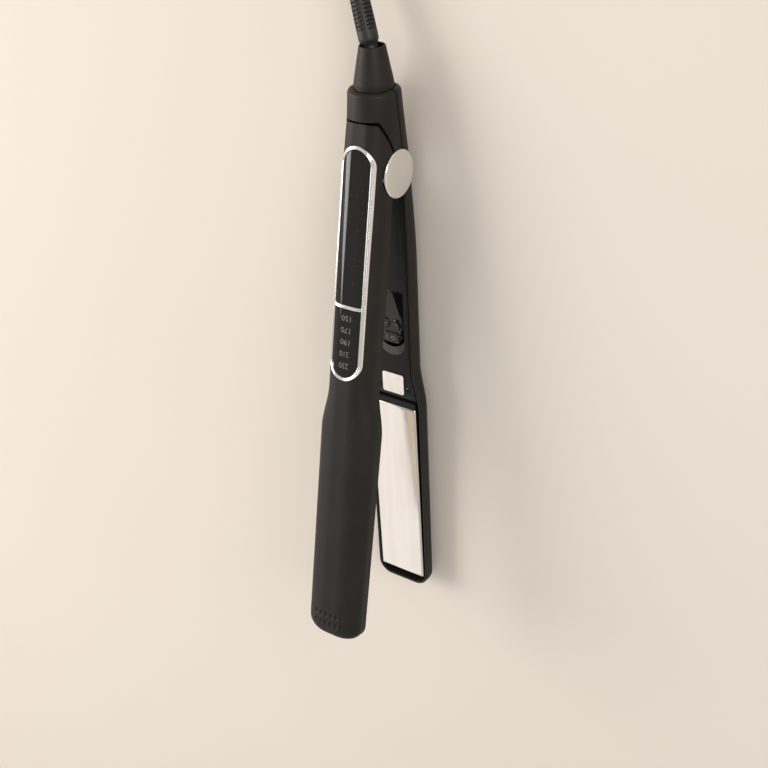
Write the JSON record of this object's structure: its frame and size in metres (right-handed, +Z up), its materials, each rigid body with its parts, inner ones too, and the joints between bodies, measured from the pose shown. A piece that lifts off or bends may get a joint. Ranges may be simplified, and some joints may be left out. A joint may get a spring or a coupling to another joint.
{
  "type": "hair straightener",
  "caption": "Slim hair straightener lying open: two sprung arms with floating polished plates, a round hinge, a framed display on the back and a swivel cord with a plug.",
  "frame": {"origin": "centre of the appliance's footprint, without its cord, on the surface it lies on", "axes": "+X from the arm tips to the cord, +Y along the hinge axis, +Z up from the lower arm to the raised upper arm"},
  "size_m": [0.5494, 0.063, 0.082],
  "materials": {
    "shell": "soft-touch matt black",
    "inner": "fine matt",
    "gloss": "polished black",
    "chrome": "mirror",
    "plate": "polished, pale champagne coating",
    "steel": "satin",
    "ceramic": "plain; stands for the heater's white ceramic",
    "rubber": "fine matt",
    "board": "lacquered circuit board",
    "label": "plain pale film",
    "brass": "turned",
    "wire": "silicone sleeve"
  },
  "bodies": {
    "lower_arm": {"lower_inner_cover": "inner", "lower_cover_screw_1": "steel", "lower_cover_screw_2": "steel", "lower_float_spring_1": "steel", "lower_float_spring_2": "steel", "lower_hinge_bracket": "steel", "hinge_pin": "steel", "torsion_spring": "steel", "thermal_fuse": "steel", "plug_pin_left": "steel", "plug_pin_right": "steel", "lower_shell": "shell", "hinge_cover": "shell", "swivel_cone": "shell", "hinge_cap_left": "chrome", "hinge_cap_right": "chrome", "control_panel": "gloss", "control_board": "board", "lower_lead_1": "wire", "lower_lead_2": "wire", "contact_ring_1": "brass", "contact_ring_2": "brass", "blank_label": "label", "cord_boot": "rubber", "cord_lead": "rubber", "cord_hank": "rubber", "hank_tie": "rubber", "plug_body": "rubber"},
    "upper_arm": {"upper_shell": "shell", "bezel": "chrome", "label_panel": "gloss", "display_lens": "gloss", "upper_inner_cover": "inner", "upper_cover_screw_1": "steel", "upper_cover_screw_2": "steel", "upper_float_spring_1": "steel", "upper_float_spring_2": "steel", "upper_hinge_bracket": "steel", "hinge_bushing_left": "brass", "hinge_bushing_right": "brass", "display_board": "board", "upper_lead_1": "wire", "upper_lead_2": "wire"},
    "lower_plate_float": {"lower_plate": "plate", "lower_plate_carrier": "inner", "lower_heater": "ceramic", "lower_heater_clip": "steel"},
    "upper_plate_float": {"upper_plate": "plate", "upper_plate_carrier": "inner", "upper_heater": "ceramic", "upper_heater_clip": "steel"},
    "power_button": {"power_button": "gloss"},
    "minus_button": {"minus_button": "gloss"},
    "plus_button": {"plus_button": "gloss"},
    "swivel": {"swivel_ball": "inner"}
  },
  "joints": [
    {"name": "arm_hinge", "type": "hinge", "parent": "lower_arm", "child": "upper_arm", "pos_m": [0.09405, 0, 0.0178], "axis": [0, -1, 0], "range_deg": [0, 13.4], "stiffness_Nm_per_rad": 0.4, "springref_deg": -34.38},
    {"name": "lower_plate_slide", "type": "slide", "parent": "lower_arm", "child": "lower_plate_float", "axis": [0.0215, 0, -0.9998], "range_m": [0, 0.0008], "stiffness_N_per_m": 3000, "springref_m": -0.0005, "deforming": ["lower_float_spring_1", "lower_float_spring_2"]},
    {"name": "upper_plate_slide", "type": "slide", "parent": "upper_arm", "child": "upper_plate_float", "axis": [0.2152, 0, 0.9766], "range_m": [0, 0.0008], "stiffness_N_per_m": 3000, "springref_m": -0.0005, "deforming": ["upper_float_spring_1", "upper_float_spring_2"]},
    {"name": "power_press", "type": "slide", "parent": "lower_arm", "child": "power_button", "axis": [0, 0, -1], "range_m": [0, 0.0008], "stiffness_N_per_m": 600, "springref_m": -0.0005},
    {"name": "minus_press", "type": "slide", "parent": "lower_arm", "child": "minus_button", "axis": [0, 0, -1], "range_m": [0, 0.0008], "stiffness_N_per_m": 600, "springref_m": -0.0005},
    {"name": "plus_press", "type": "slide", "parent": "lower_arm", "child": "plus_button", "axis": [0, 0, -1], "range_m": [0, 0.0008], "stiffness_N_per_m": 600, "springref_m": -0.0005},
    {"name": "cord_swivel", "type": "hinge", "parent": "lower_arm", "child": "swivel", "pos_m": [0.1413, 0, 0.0178], "axis": [1, 0, 0], "continuous": true}
  ]
}
